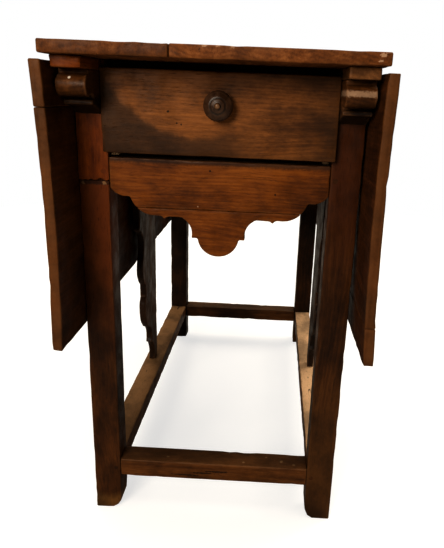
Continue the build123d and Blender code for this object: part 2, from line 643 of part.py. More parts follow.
def screw(start, direction):
    """A flat-headed screw: the head fills the plate, the shank goes into the wood."""
    rod(start, direction, HINGE_PLATE, SCREW_HEAD_R)
    rod(start, direction, HINGE_PLATE + SCREW_LONG, SCREW_R)


for side_name, side in SIDES:
    save(top_plates(side), f"{side_name}_hinge_top_plates")
    save(leaf_plates(side), f"{side_name}_hinge_leaf_plates")
    with BuildPart() as pins:
        for y in HINGE_Y:
            rod((side * PIVOT_X, y - HINGE_LONG / 2 - 1, PIVOT_Z), (0, 1, 0), HINGE_LONG + 2, HINGE_PIN_R)
    save(pins, f"{side_name}_hinge_pins")
    with BuildPart() as leaf_screws:
        for y in HINGE_Y:
            for step in SCREW_OFFSETS:
                screw((side * PIVOT_X, y + step, LEAF_SCREW_Z), (side, 0, 0))
    save(leaf_screws, f"{side_name}_leaf_screws")

with BuildPart() as top_screws:
    for side in (-1, 1):
        for x, y, z, radius in top_screw_holes(side):
            screw((x, y, z - HINGE_PLATE), (0, 0, 1))
save(top_screws, "top_hinge_screws")


# ---- pegs ----------------------------------------------------------------------------------
with BuildPart() as frame_pegs:
    for end_name, end in ENDS:
        for side_name, side in SIDES:
            for start, direction in leg_pegs(end_name, end, side):
                rod(start, direction, PEG_DEEP - PEG_SHY, PEG_R)
save(frame_pegs, "frame_pegs")

with BuildPart() as top_pegs:
    for x, y in top_peg_places():
        rod((x, y, UNDERSIDE - TOP_PEG_DEEP + 1), (0, 0, 1), TOP_THICK + TOP_PEG_DEEP - 1, PEG_R)
save(top_pegs, "top_pegs")
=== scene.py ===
# %% [markdown]
# # An old walnut drop leaf table
# The joiner's part of this table is settled already: every board, leg, hinge and pin comes in as a
# fixed frame, in metres, standing on z = 0 with the drawer end towards -Y. What is left is what two
# centuries did to it. Each board that shows is made again here as worn wood, and each gets its own
# walnut. The frame's own nodes stay where they are, hidden behind the worn pieces or with a finish.

import json
import math

import bmesh
import bpy
from mathutils import Matrix, Vector, kdtree, noise


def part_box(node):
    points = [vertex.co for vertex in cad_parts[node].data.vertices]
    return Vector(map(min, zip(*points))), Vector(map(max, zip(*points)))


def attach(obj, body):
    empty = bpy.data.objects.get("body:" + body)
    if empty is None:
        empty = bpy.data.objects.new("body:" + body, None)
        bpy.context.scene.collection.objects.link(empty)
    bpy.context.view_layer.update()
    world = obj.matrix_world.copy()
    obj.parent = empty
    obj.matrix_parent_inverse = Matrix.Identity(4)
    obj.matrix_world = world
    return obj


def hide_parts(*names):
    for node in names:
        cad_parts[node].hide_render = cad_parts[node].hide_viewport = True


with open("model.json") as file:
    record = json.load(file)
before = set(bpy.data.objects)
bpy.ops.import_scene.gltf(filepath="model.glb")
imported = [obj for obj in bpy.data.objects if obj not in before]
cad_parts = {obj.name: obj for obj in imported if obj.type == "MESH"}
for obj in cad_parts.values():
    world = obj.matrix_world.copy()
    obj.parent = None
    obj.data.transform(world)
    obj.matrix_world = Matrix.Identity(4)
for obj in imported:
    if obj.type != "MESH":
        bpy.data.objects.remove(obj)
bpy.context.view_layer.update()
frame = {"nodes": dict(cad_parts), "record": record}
nodes = frame["nodes"]
body_of_node = {n: body for body, held in frame["record"]["behaviour"]["bodies"].items() for n in held}
slot_of_node = {row["node"]: row["material_slot"] for row in frame["record"]["subparts"]}

# %% [markdown]
# ## The camera
# The table is seen from a step in front of the drawer, from just under the height of its top, and
# tipped down so that the stretchers show. A person would walk round until it looked right. Here the
# place and the three turns are plain numbers, and a small shift of the lens sets the table in frame.

# %% Camera
CAMERA_PLACE = Vector((0.0779, -1.2355, 0.6978))
YAW, PITCH, ROLL = math.radians(-1.317), math.radians(18.40), math.radians(2.39)
FOCAL_LENGTH = 38.1
LENS_SHIFT = (-0.0608, 0.0232)

lens = bpy.data.cameras.new("view")
lens.sensor_width = 36
lens.lens = FOCAL_LENGTH
lens.shift_x, lens.shift_y = LENS_SHIFT
camera = bpy.data.objects.new("view", lens)
bpy.context.scene.collection.objects.link(camera)
forward = Vector((math.sin(YAW) * math.cos(PITCH), math.cos(YAW) * math.cos(PITCH), -math.sin(PITCH)))
level = Vector((math.cos(YAW), -math.sin(YAW), 0))
upward = level.cross(forward)
right = level * math.cos(ROLL) + upward * math.sin(ROLL)
above = upward * math.cos(ROLL) - level * math.sin(ROLL)
turned_to_view = Matrix((right, above, -forward)).transposed().to_4x4()
camera.matrix_world = Matrix.Translation(CAMERA_PLACE) @ turned_to_view
bpy.context.scene.camera = camera
print("camera at", [round(c, 3) for c in CAMERA_PLACE], "m, tipped down", round(math.degrees(PITCH), 1))

# %% [markdown]
# ## The studio
# A pale floor, a bright backdrop and large soft lamps. Dark polished wood shows every bright thing
# around it, so the world and the floor are bright only where the lens sees them straight on, and
# the lamps do the lighting. The main lamp stands to the left in front, as a window would.

# %% Floor, world and lamps
def lamp(name, place, aim, size, watts, tint=(1, 1, 1)):
    """A square soft lamp at a place, turned towards a point."""
    light = bpy.data.lights.new(name, "AREA")
    light.size, light.energy, light.color = size, watts, tint
    holder = bpy.data.objects.new(name, light)
    holder.location = place
    holder.rotation_euler = (Vector(aim) - Vector(place)).to_track_quat("-Z", "Y").to_euler()
    bpy.context.scene.collection.objects.link(holder)


world = bpy.data.worlds.new("studio")
world.use_nodes = True
bpy.context.scene.world = world
air = world.node_tree
seen = air.nodes.new("ShaderNodeLightPath").outputs["Is Camera Ray"]
strength = air.nodes.new("ShaderNodeMapRange")
strength.inputs["To Min"].default_value = 0.13
strength.inputs["To Max"].default_value = 1.0
air.links.new(seen, strength.inputs["Value"])
air.links.new(strength.outputs["Result"], air.nodes["Background"].inputs["Strength"])
walls = air.nodes.new("ShaderNodeMix")
walls.data_type = "RGBA"
walls.inputs[6].default_value = (1.0, 0.84, 0.64, 1)
walls.inputs[7].default_value = (1, 1, 1, 1)
air.links.new(seen, walls.inputs[0])
air.links.new(walls.outputs[2], air.nodes["Background"].inputs["Color"])

lamp("window", (-0.75, -2.35, 1.35), (0, -0.4, 0.62), 0.9, 52, (1.0, 0.91, 0.78))
sky = bpy.data.lights.new("ceiling", "SUN")
sky.energy, sky.angle, sky.color = 3.2, math.radians(75), (1.0, 0.91, 0.78)
ceiling = bpy.data.objects.new("ceiling", sky)
ceiling.rotation_euler = (math.radians(-12), math.radians(8), 0)
bpy.context.scene.collection.objects.link(ceiling)
lamp("side", (1.7, 0.9, 1.5), (0.2, 0.1, 0.2), 0.9, 14, (1.0, 0.92, 0.82))
bpy.context.scene.view_settings.view_transform = "Standard"
bpy.context.scene.view_settings.gamma = 0.78

bpy.ops.object.select_all(action="DESELECT")
bpy.ops.mesh.primitive_circle_add(vertices=96, radius=2.6, fill_type="NGON")
floor = bpy.context.object
floor.name = "floor"
pale = bpy.data.materials.new("pale_floor")
pale.use_nodes = True
paint = pale.node_tree.nodes["Principled BSDF"]
paint.inputs["Roughness"].default_value = 0.9
paint.inputs["Specular IOR Level"].default_value = 0.1
seen = pale.node_tree.nodes.new("ShaderNodeLightPath").outputs["Is Camera Ray"]
white = pale.node_tree.nodes.new("ShaderNodeMapRange")
white.inputs["To Max"].default_value = 0.72
pale.node_tree.links.new(seen, white.inputs["Value"])
pale.node_tree.links.new(white.outputs["Result"], paint.inputs["Emission Strength"])
paint.inputs["Emission Color"].default_value = (1, 1, 1, 1)
paint.inputs["Base Color"].default_value = (0.40, 0.395, 0.38, 1)
floor.data.materials.append(pale)

# %% [markdown]
# ## Small tools for wood shaders
# Walnut is built up from a few patterns: year rings cut by the board's faces, long streaks, fine
# fibres, pores, and on an old board also stains, worm holes, drying cracks and rubbed arrises. All
# of them read Object coordinates in metres, so a pattern has its real size and runs through a board
# from face to end. These helpers keep each pattern to one line.

# %% Node helpers
def make(tree, kind, inputs=(), **settings):
    """A shader node with its settings and inputs; an input is a constant or another socket."""
    made = tree.nodes.new("ShaderNode" + kind)
    for key, value in settings.items():
        setattr(made, key, value)
    for key, value in dict(inputs).items():
        if isinstance(value, bpy.types.NodeSocket):
            tree.links.new(value, made.inputs[key])
        else:
            made.inputs[key].default_value = value
    return made


def maths(tree, operation, first, second=0.0):
    return make(tree, "Math", {0: first, 1: second}, operation=operation).outputs[0]


def stretched(tree, place, shift, scale):
    return make(tree, "Mapping", {"Vector": place, "Location": shift, "Scale": scale}).outputs[0]


def cloud(tree, place, scale, detail=3.0, rough=0.55):
    inputs = {"Vector": place, "Scale": scale, "Detail": detail, "Roughness": rough}
    return make(tree, "TexNoise", inputs).outputs[0]


def band(tree, value, low, high, bottom=0.0, top=1.0):
    """0 below low and 1 above high, with soft ends; low may be the larger."""
    inputs = {"Value": value, "From Min": low, "From Max": high, "To Min": bottom, "To Max": top}
    return make(tree, "MapRange", inputs, interpolation_type="SMOOTHSTEP").outputs[0]


def mixed(tree, factor, under, over, how="MIX"):
    made = make(tree, "Mix", {0: factor, 6: under, 7: over}, data_type="RGBA", blend_type=how)
    return made.outputs[2]


def tone(red, green, blue):
    return (red, green, blue, 1.0)


# %% [markdown]
# ## Where a board is rubbed
# Hands, rags and knees take the polish off the arrises first. On a plain board the distance to the
# nearest arris is the middle one of the three distances to its faces, which needs only the board's
# own box. A carved piece has no such box, so it carries the distance as an attribute of its mesh.

# %% Arris distance
def box_arris_distance(tree, place, low, high, slack=(0, 0, 0)):
    middle, half = (low + high) / 2, (high - low) / 2
    away = make(tree, "VectorMath", {0: place, 1: middle}, operation="SUBTRACT").outputs[0]
    away = make(tree, "VectorMath", {0: away}, operation="ABSOLUTE").outputs[0]
    inner = make(tree, "VectorMath", {0: half - Vector(slack), 1: away}, operation="SUBTRACT").outputs[0]
    inner = make(tree, "VectorMath", {0: inner, 1: (0, 0, 0)}, operation="MAXIMUM").outputs[0]
    parts = make(tree, "SeparateXYZ", {0: inner}).outputs
    lesser = maths(tree, "MINIMUM", parts[0], parts[1])
    greater = maths(tree, "MAXIMUM", parts[0], parts[1])
    return maths(tree, "MAXIMUM", lesser, maths(tree, "MINIMUM", greater, parts[2]))


def stored_arris_distance(tree):
    return make(tree, "Attribute", attribute_name="arris_distance").outputs["Fac"]


# %% [markdown]
# ## Old walnut
# One function makes every walnut on the table, because the boards came from a few trees and were
# waxed with the same rag. What differs is told by its arguments: the three tones, the way the grain
# runs, where the heart of the tree lay, how far the arrises are rubbed, and a seed that moves all
# patterns. A flat colour with a noise over it would look like paint, so the year rings come first.

# %% Walnut
def walnut(name, tones, grain, seed, arris, heart=0.09, rub=0.45, rubbed=(0.165, 0.074, 0.026),
           rings=52.0, stain=0.50, shine=0.42, gleam=0.12, mottle=0.30,
           coat=None):
    """tones are (dark, middle, pale); arris makes the distance to the nearest arris."""
    material = bpy.data.materials.new(name)
    material.use_nodes = True
    tree = material.node_tree
    shader = tree.nodes["Principled BSDF"]
    place = make(tree, "TexCoord").outputs["Object"]
    axis = "XYZ".index(grain)
    moved = Vector((seed * 1.37, seed * 2.11, seed * 0.73))

    def along(factor):
        return [factor if i == axis else 1.0 for i in range(3)]

    slow = make(tree, "TexNoise", {"Vector": stretched(tree, place, moved, along(0.25)), "Scale": 9.0,
                                   "Detail": 2.0}).outputs["Color"]
    sway = make(tree, "VectorMath", {0: slow, 1: (0.5, 0.5, 0.5)}, operation="SUBTRACT").outputs[0]
    sway = make(tree, "VectorMath", {0: sway, "Scale": 0.05}, operation="SCALE").outputs[0]
    bent = make(tree, "VectorMath", {0: place, 1: sway}, operation="ADD").outputs[0]

    from_heart = Vector([0 if i == axis else heart * (1 + 0.3 * math.sin(seed + i)) for i in range(3)])
    ring_place = stretched(tree, bent, from_heart, along(0.12))
    year_rings = make(tree, "TexWave", {"Vector": ring_place, "Scale": rings, "Distortion": 9.0,
                                        "Detail": 4.0, "Detail Scale": 0.35, "Detail Roughness": 0.65},
                      wave_type="RINGS", rings_direction=grain).outputs["Fac"]
    streaks = cloud(tree, stretched(tree, bent, moved, along(0.09)), 75.0, 6.0, 0.68)
    fibres = cloud(tree, stretched(tree, bent, moved, along(0.05)), 620.0, 4.0, 0.7)
    pores = cloud(tree, stretched(tree, bent, moved, along(0.05)), 1300.0, 2.0)
    clouds = cloud(tree, stretched(tree, place, moved, along(0.6)), 11.0, 6.0, 0.66)
    smudges = cloud(tree, stretched(tree, place, moved, (1, 1, 1)), 38.0, 5.0, 0.65)

    figure = maths(tree, "MULTIPLY", year_rings, 0.05)
    for pattern, share in ((streaks, 0.72 - mottle), (fibres, 0.25), (clouds, mottle)):
        figure = maths(tree, "ADD", figure, maths(tree, "MULTIPLY", pattern, share))
    dark, middle, pale_tone = tones
    colour = mixed(tree, band(tree, figure, 0.38, 0.54), tone(*dark), tone(*middle))
    colour = mixed(tree, band(tree, figure, 0.50, 0.66), colour, tone(*pale_tone))
    if coat:
        colour = coat(tree, place, colour, smudges)

    shade = band(tree, clouds, 0.34, 0.62, stain, 1.12)
    colour = mixed(tree, 1.0, colour, make(tree, "CombineColor", {0: shade, 1: shade, 2: shade}).outputs[0],
                   "MULTIPLY")
    speck = band(tree, pores, 0.60, 0.70)
    colour = mixed(tree, maths(tree, "MULTIPLY", speck, 0.5), colour, tone(*(c * 0.3 for c in dark)))

    crack = maths(tree, "ABSOLUTE", maths(tree, "SUBTRACT", cloud(
        tree, stretched(tree, bent, moved * 1.7, along(0.025)), 42.0, 2.0), 0.5))
    crack = maths(tree, "MULTIPLY", band(tree, crack, 0.0045, 0.0008), band(tree, clouds, 0.58, 0.64))
    worm = make(tree, "TexVoronoi", {"Vector": stretched(tree, place, moved, (1, 1, 1)), "Scale": 24.0})
    chosen = make(tree, "SeparateColor", {0: worm.outputs["Color"]}).outputs[0]
    holes = maths(tree, "MULTIPLY", band(tree, worm.outputs["Distance"], 0.030, 0.022),
                  maths(tree, "GREATER_THAN", chosen, 0.80))
    scars = maths(tree, "MAXIMUM", crack, holes)
    colour = mixed(tree, maths(tree, "MULTIPLY", scars, 0.85), colour, tone(0.004, 0.002, 0.001))

    edge = maths(tree, "ADD", arris(tree, place), maths(tree, "MULTIPLY", smudges, 0.012))
    tint_share = maths(tree, "MULTIPLY", band(tree, edge, 0.0095, 0.0050), rub)
    colour = mixed(tree, tint_share, colour, tone(*rubbed))
    tree.links.new(colour, shader.inputs["Base Color"])

    gloss = maths(tree, "ADD", band(tree, smudges, 0.35, 0.65, shine - 0.08, shine + 0.14),
                  maths(tree, "MULTIPLY", tint_share, 0.12))
    tree.links.new(gloss, shader.inputs["Roughness"])
    shader.inputs["Specular IOR Level"].default_value = gleam

    relief = maths(tree, "SUBTRACT", maths(tree, "MULTIPLY", fibres, 0.5),
                   maths(tree, "MULTIPLY", speck, 0.5))
    relief = maths(tree, "SUBTRACT", relief, maths(tree, "MULTIPLY", scars, 1.2))
    relief = maths(tree, "ADD", relief, maths(tree, "MULTIPLY", smudges, 0.2))
    bump = make(tree, "Bump", {"Strength": 0.45, "Distance": 0.0007, "Height": relief})
    tree.links.new(bump.outputs["Normal"], shader.inputs["Normal"])
    return material


# %% [markdown]
# ## Places that look different
# Some marks belong to one place: a stain across the drawer front, feet that boots have rubbed pale,
# a fleck of plaster. Each is a coat, a small function that lays one more colour over the walnut
# where the position says so, with its border broken up by the same smudges as the polish. Some coats
# also paint shade and a highlight; each of these is named where it is laid.

# %% Coats
def layered(*coats):
    """Several coats, the first laid on first."""
    def lay(tree, place, colour, smudges):
        for coat in coats:
            colour = coat(tree, place, colour, smudges)
        return colour
    return lay


def slope_coat(paint, way, start, end, amount=0.8, breakup=0.03):
    """Paint grows from nothing to full along a way, between two distances from the origin."""
    def lay(tree, place, colour, smudges):
        distance = make(tree, "VectorMath", {0: place, 1: way}, operation="DOT_PRODUCT").outputs["Value"]
        distance = maths(tree, "ADD", distance, maths(tree, "MULTIPLY", maths(
            tree, "SUBTRACT", smudges, 0.5), breakup))
        covered = maths(tree, "MULTIPLY", band(tree, distance, start, end), amount)
        return mixed(tree, covered, colour, tone(*paint))
    return lay


def ragged(tree, place, distance, breakup):
    """A distance roughened by a fine noise, for rims a few millimetres wide."""
    grit = maths(tree, "SUBTRACT", cloud(tree, place, 330.0, 3.0, 0.7), 0.5)
    return maths(tree, "ADD", distance, maths(tree, "MULTIPLY", grit, breakup))


def strip_coat(paint, way, first, last, soft, amount=0.8, breakup=0.004):
    """Paint between two distances along a way."""
    def lay(tree, place, colour, smudges):
        distance = make(tree, "VectorMath", {0: place, 1: way}, operation="DOT_PRODUCT").outputs["Value"]
        distance = ragged(tree, place, distance, breakup)
        inside = maths(tree, "MINIMUM", band(tree, distance, first - soft, first + soft),
                       band(tree, distance, last + soft, last - soft))
        return mixed(tree, maths(tree, "MULTIPLY", inside, amount), colour, tone(*paint))
    return lay


def outside_coat(paint, centre, radius, soft, fade, amount=0.8, breakup=0.01):
    """Paint outside a circle seen from the drawer end, fading out between two places along X."""
    def lay(tree, place, colour, smudges):
        flat = make(tree, "VectorMath", {0: place, 1: (1, 0, 1)}, operation="MULTIPLY").outputs[0]
        distance = make(tree, "VectorMath", {0: flat, 1: centre}, operation="DISTANCE").outputs["Value"]
        distance = maths(tree, "ADD", distance, maths(tree, "MULTIPLY", maths(
            tree, "SUBTRACT", smudges, 0.5), breakup))
        sideways = make(tree, "SeparateXYZ", {0: place}).outputs[0]
        covered = maths(tree, "MULTIPLY", band(tree, distance, radius, radius + soft),
                        band(tree, sideways, fade[1], fade[0]))
        return mixed(tree, maths(tree, "MULTIPLY", covered, amount), colour, tone(*paint))
    return lay


def spot_coat(paint, centre, radius, amount=0.9, breakup=0.004, shape=(1, 1, 1)):
    """Paint round a point, ragged at its rim; a shape number below 1 stretches it along that axis."""
    def lay(tree, place, colour, smudges):
        away = make(tree, "VectorMath", {0: place, 1: centre}, operation="SUBTRACT").outputs[0]
        away = make(tree, "VectorMath", {0: away, 1: shape}, operation="MULTIPLY").outputs[0]
        distance = make(tree, "VectorMath", {0: away}, operation="LENGTH").outputs["Value"]
        distance = ragged(tree, place, distance, breakup)
        covered = maths(tree, "MULTIPLY", band(tree, distance, radius, radius * 0.7), amount)
        return mixed(tree, covered, colour, tone(*paint))
    return lay


# %% [markdown]
# ## Boards
# A board is a block with its faces sliced into a net, its arrises eased with a bevel, and its
# surface moved a fraction of a millimetre as a hand plane leaves it. The net comes from subdividing
# only the edges that run one way, which is a loop cut that needs no window. The arrises get a second
# displacement of their own, inwards, where two centuries of knocks fell.

# %% Board tools
planed = bpy.data.textures.new("planed", "CLOUDS")
planed.noise_scale, planed.noise_depth = 0.16, 3
knocked = bpy.data.textures.new("knocked", "CLOUDS")
knocked.noise_scale, knocked.noise_depth, knocked.contrast, knocked.intensity = 0.026, 2, 4.0, 0.45
knocked.use_clamp = True


def only(piece):
    bpy.ops.object.select_all(action="DESELECT")
    piece.select_set(True)
    bpy.context.view_layer.objects.active = piece


def pick(piece, kind, test):
    """In edit mode, selects just the faces, edges or verts that pass a test."""
    net = bmesh.from_edit_mesh(piece.data)
    bpy.ops.mesh.select_mode(type=kind)
    bpy.ops.mesh.select_all(action="DESELECT")
    for part in {"FACE": net.faces, "EDGE": net.edges, "VERT": net.verts}[kind]:
        part.select_set(test(part))
    bmesh.update_edit_mesh(piece.data)


def slice_along(piece, axis, length, step):
    def runs_along(edge):
        way = (edge.verts[1].co - edge.verts[0].co).normalized()
        return abs(way[axis]) > 0.99
    pick(piece, "EDGE", runs_along)
    cuts = min(99, round(length / step) - 1)
    if cuts > 0:
        bpy.ops.mesh.subdivide(number_cuts=cuts)


def weather(piece, unevenness, knocks):
    """Hand-planed faces, knocked arrises."""
    for name, texture, strength, middle, group in (("planed", planed, unevenness, 0.8, ""),
                                                   ("knocked", knocked, -knocks, 0.0, "arris")):
        moved = piece.modifiers.new(name, "DISPLACE")
        moved.texture, moved.texture_coords = texture, "LOCAL"
        moved.strength, moved.mid_level, moved.vertex_group = strength, middle, group
        bpy.ops.object.modifier_apply(modifier=name)
    bpy.ops.object.shade_smooth_by_angle(angle=math.radians(50))


def block(name, low, high, steps, arris):
    """A sliced block with eased arrises, whose rim is the vertex group arris."""
    bpy.ops.object.select_all(action="DESELECT")
    bpy.ops.mesh.primitive_cube_add(size=1, location=(low + high) / 2, scale=high - low)
    piece = bpy.context.object
    piece.name = piece.data.name = name
    bpy.ops.object.transform_apply(location=True, rotation=True, scale=True)
    bpy.ops.object.mode_set(mode="EDIT")
    for axis in range(3):
        slice_along(piece, axis, (high - low)[axis], steps[axis])
    bpy.ops.mesh.select_mode(type="EDGE")
    bpy.ops.mesh.select_all(action="DESELECT")
    bpy.ops.mesh.edges_select_sharp(sharpness=math.radians(60))
    bpy.ops.mesh.bevel(offset=arris, segments=3, affect="EDGES")
    piece.vertex_groups.new(name="arris")
    bpy.ops.object.vertex_group_assign()
    bpy.ops.object.mode_set(mode="OBJECT")
    return piece


def settle(piece, node, material):
    """The piece takes the node's place, body and finish."""
    piece.data.materials.clear()
    piece.data.materials.append(material)
    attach(piece, body_of_node[node])
    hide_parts(node)


def count(pieces):
    return sum(len(p.data.polygons) for p in pieces)


# %% [markdown]
# ## The fixed top
# Two walnut boards glued edge to edge, their ends showing the year rings and a fine seam left of
# the middle. The rim is rounded by use and chipped in places.

# %% Top boards
TOP_TONES = ((0.075, 0.024, 0.005), (0.145, 0.048, 0.010), (0.230, 0.090, 0.025))
SEAM = 0.0003
# A pale for real chips, and for a painted highlight on the right front corbel.
CHIP_AND_HIGHLIGHT_PALE = (0.42, 0.27, 0.17)
wide_low, wide_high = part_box("top_board_wide")
front_chips = [spot_coat(CHIP_AND_HIGHLIGHT_PALE, Vector((x, wide_low.y, wide_high.z - down)), radius, 0.75, 0.008,
                         (0.7, 1, 1.2))
               for x, down, radius in ((-0.010, 0.001, 0.0022), (0.005, 0.001, 0.0015),
                                       (0.023, 0.001, 0.0028), (0.199, 0.004, 0.0030),
                                       (0.197, 0.010, 0.0022), (0.204, 0.001, 0.0020))]
top_coat = {"top_board_wide": layered(*front_chips)}
tops = []
for seed, node in enumerate(("top_board_narrow", "top_board_wide")):
    low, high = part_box(node)
    low, high = low + Vector((SEAM, 0, 0)), high - Vector((SEAM, 0, 0))
    piece = block(node + "_wood", low, high, (0.013, 0.011, 0.005), 0.0022)
    weather(piece, 0.0005, 0.0012)

    def arris(tree, place, low=low, high=high):
        return box_arris_distance(tree, place, low, high)

    settle(piece, node, walnut(node, TOP_TONES, "Y", 3.1 + seed, arris, rub=0.3, stain=0.72,
                               mottle=0.16, shine=0.50, coat=top_coat.get(node)))
    tops.append(piece)
print("top:", count(tops), "faces")

# %% [markdown]
# ## The hanging leaves
# Each leaf is two boards that have cupped as they dried, hollow on the show side. They are also a
# little in winding: the front lower corner of the left leaf has gone in, that of the right leaf out.
# The block is sliced first and bent afterwards across the whole leaf, so both boards share one
# surface and their seam stays closed.

# %% Leaves
LEAF_TONES = ((0.032, 0.0090, 0.0018), (0.066, 0.0200, 0.0040), (0.115, 0.0370, 0.0090))
LEAF_END = (0.125, 0.0470, 0.0110)
CUP = 0.0045
WINDING = {"left": 0.0030, "right": 0.0065}
LEAF_THICK = 0.015
leaf_boards = {"left": ("left_leaf_hinge_board", "left_leaf_main_board"),
               "right": ("right_leaf_main_board", "right_leaf_edge_board")}
leaves = []
for side, pair in leaf_boards.items():
    bottom = min(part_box(n)[0].z for n in pair)
    tall = max(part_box(n)[1].z for n in pair) - bottom
    for seed, node in enumerate(pair):
        low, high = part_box(node)
        if side == "left":
            high = Vector((low.x + LEAF_THICK, high.y, high.z))
        else:
            low = Vector((high.x - LEAF_THICK, low.y, low.z))
        piece = block(node + "_wood", low, high, (0.005, 0.012, 0.012), 0.0022)
        towards_frame = 1 if side == "left" else -1
        for v in piece.data.vertices:
            up = min(max((v.co.z - bottom) / tall, 0), 1)
            frontward = (high.y - v.co.y) / (high.y - low.y)
            v.co.x += towards_frame * CUP * 4 * up * (1 - up) + WINDING[side] * frontward * (1 - up)
        weather(piece, 0.0005, 0.0014)

        def arris(tree, place, low=low, high=high):
            return box_arris_distance(tree, place, low, high, (CUP, 0, 0))

        number = seed + (7 if side == "left" else 11)
        end_coat = slope_coat(LEAF_END, (0, -1, 0), -low.y - 0.005, -low.y - 0.0015, 0.65, 0)
        settle(piece, node, walnut(node, LEAF_TONES, "Y", number, arris, rub=0.25, stain=0.65, mottle=0.18,
                                   shine=0.50, coat=end_coat))
        leaves.append(piece)
print("leaves:", count(leaves), "faces")

# %% [markdown]
# ## Legs, rails and cleats
# The frame is square stuff, sawn and planed by hand, and it is all made the same way: a block as
# long as shows between the joints. The tenons stay inside the legs, where the frame's own nodes
# have them. The front left leg was mended once: a redder piece sits in a pocket cut with a boolean,
# and its lower end has crumbled. The inner corners of both front feet are worn round.

# %% Frame boards
TENON = 0.015
FRAME_TONES = ((0.020, 0.0066, 0.0012), (0.045, 0.0150, 0.0028), (0.080, 0.0290, 0.0060))
BACK_TONES = ((0.012, 0.0042, 0.0010), (0.026, 0.0090, 0.0018), (0.050, 0.0180, 0.0040))
LEFT_LEG_TONES = ((0.026, 0.0082, 0.0014), (0.052, 0.0170, 0.0030), (0.092, 0.0320, 0.0065))
RAIL_TONES = ((0.045, 0.0150, 0.0030), (0.100, 0.0350, 0.0070), (0.160, 0.0620, 0.0150))
APRON_TONES = ((0.072, 0.0180, 0.0016), (0.142, 0.0400, 0.0032), (0.215, 0.0690, 0.0075))
CLEAT_TONES = ((0.100, 0.0400, 0.0120), (0.200, 0.0850, 0.0260), (0.320, 0.1450, 0.0520))
RED_TONES = ((0.120, 0.0240, 0.0018), (0.230, 0.0520, 0.0035), (0.320, 0.0850, 0.0080))
RED_CLEAT_TONES = ((0.070, 0.0150, 0.0010), (0.135, 0.0320, 0.0020), (0.190, 0.0520, 0.0050))

frame_boards = []


def cut_recess(piece, low, high):
    """Takes a square pocket out of a board."""
    bpy.ops.object.select_all(action="DESELECT")
    bpy.ops.mesh.primitive_cube_add(size=1, location=(low + high) / 2, scale=high - low)
    cutter = bpy.context.object
    only(piece)
    pocket = piece.modifiers.new("pocket", "BOOLEAN")
    pocket.operation, pocket.object, pocket.solver = "DIFFERENCE", cutter, "EXACT"
    bpy.ops.object.modifier_apply(modifier="pocket")
    bpy.data.objects.remove(cutter)


def frame_board(node, grain, seed, tones, tenons=0.0, arris_size=0.002, step=0.012, knocks=0.0014,
                recess=None, **more):
    low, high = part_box(node)
    axis = "XYZ".index(grain)
    low[axis] += tenons
    high[axis] -= tenons
    steps = [step if i == axis else step * 0.6 for i in range(3)]
    piece = block(node + "_wood", low, high, steps, arris_size)
    if recess:
        cut_recess(piece, *recess)
    weather(piece, 0.0004, knocks)

    def arris(tree, place):
        return box_arris_distance(tree, place, low, high)

    settle(piece, node, walnut(node, tones, grain, seed, arris, **more))
    frame_boards.append(piece)
    return piece


UP, DOWN = (0, 0, 1), (0, 0, -1)
OCHRE = (0.150, 0.070, 0.018)
# A near black for painted shade under the corbels, along the top of the apron, in the gap below the leg's
# patch, on the brackets' edges and at the front of the inner wood; it also makes the feet of two legs
# darker towards the bottom.
SHADE_AND_FOOT_BLACK = (0.016, 0.009, 0.006)
# Russets that also stand in for light: the front legs are painted redder and lighter towards their tops.
PAINTED_LIT_RUSSET = (0.150, 0.036, 0.0045)
PAINTED_LIT_DULL_RUSSET = (0.060, 0.0145, 0.0018)
DULL_OCHRE = (0.105, 0.042, 0.0095)
CRUMB = (0.30, 0.17, 0.08)
patch_low, patch_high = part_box("front_left_leg_patch")
seam_left = Vector((patch_low.x, patch_low.y, patch_low.z))
seam_right = Vector((patch_high.x, patch_low.y, patch_low.z))
# Painted light on the front legs: redder wood, painted lighter towards the top where the light falls.
leg_of = {
    "front_left_leg": (LEFT_LEG_TONES, layered(
        slope_coat(PAINTED_LIT_RUSSET, UP, 0.26, 0.56, 0.90, 0.10), slope_coat(OCHRE, DOWN, -0.036, -0.014, 0.85),
        # Painted shade in the crumbled gap below the patch: a dark band 6 mm tall.
        strip_coat(SHADE_AND_FOOT_BLACK, UP, patch_low.z - 0.006, patch_low.z, 0.0015, 0.75, 0.010),
        spot_coat(CRUMB, seam_right + Vector((-0.007, 0, -0.003)), 0.0035, 0.8, 0.006),
        spot_coat(CRUMB, seam_left + Vector((0.006, 0, -0.004)), 0.0028, 0.6, 0.006))),
    "front_right_leg": (FRAME_TONES, layered(slope_coat(PAINTED_LIT_DULL_RUSSET, UP, 0.40, 0.60, 0.8, 0.12),
                                             slope_coat(DULL_OCHRE, DOWN, -0.30, -0.12, 0.7, 0.12),
                                             slope_coat(SHADE_AND_FOOT_BLACK, DOWN, -0.050, -0.015, 0.35))),
    "back_left_leg": (BACK_TONES, slope_coat(SHADE_AND_FOOT_BLACK, DOWN, -0.040, -0.010, 0.5)),
    "back_right_leg": (FRAME_TONES, slope_coat(OCHRE, DOWN, -0.030, -0.010, 0.4))}
pockets = {"front_left_leg": (patch_low - Vector((0.001, 0.001, 0.0008)),
                              Vector((patch_high.x + 0.001, patch_high.y, patch_high.z + 0.0004)))}
FOOT_WEAR_WIDE, FOOT_WEAR_TALL, FOOT_WEAR_DEEP = 0.014, 0.016, 0.006
for seed, (node, (tones, coat)) in enumerate(leg_of.items()):
    leg = frame_board(node, "Z", 20 + seed, tones, rub=0.2, coat=coat, recess=pockets.get(node))
    if node.startswith("front"):
        low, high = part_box(node)
        inner = high.x if node == "front_left_leg" else low.x
        outward = 1 if node == "front_left_leg" else -1
        for v in leg.data.vertices:
            near = max(0, 1 - abs(v.co.x - inner) / FOOT_WEAR_WIDE) * max(0, 1 - v.co.z / FOOT_WEAR_TALL)
            v.co.x -= outward * FOOT_WEAR_DEEP * near
            v.co.z += FOOT_WEAR_DEEP * near
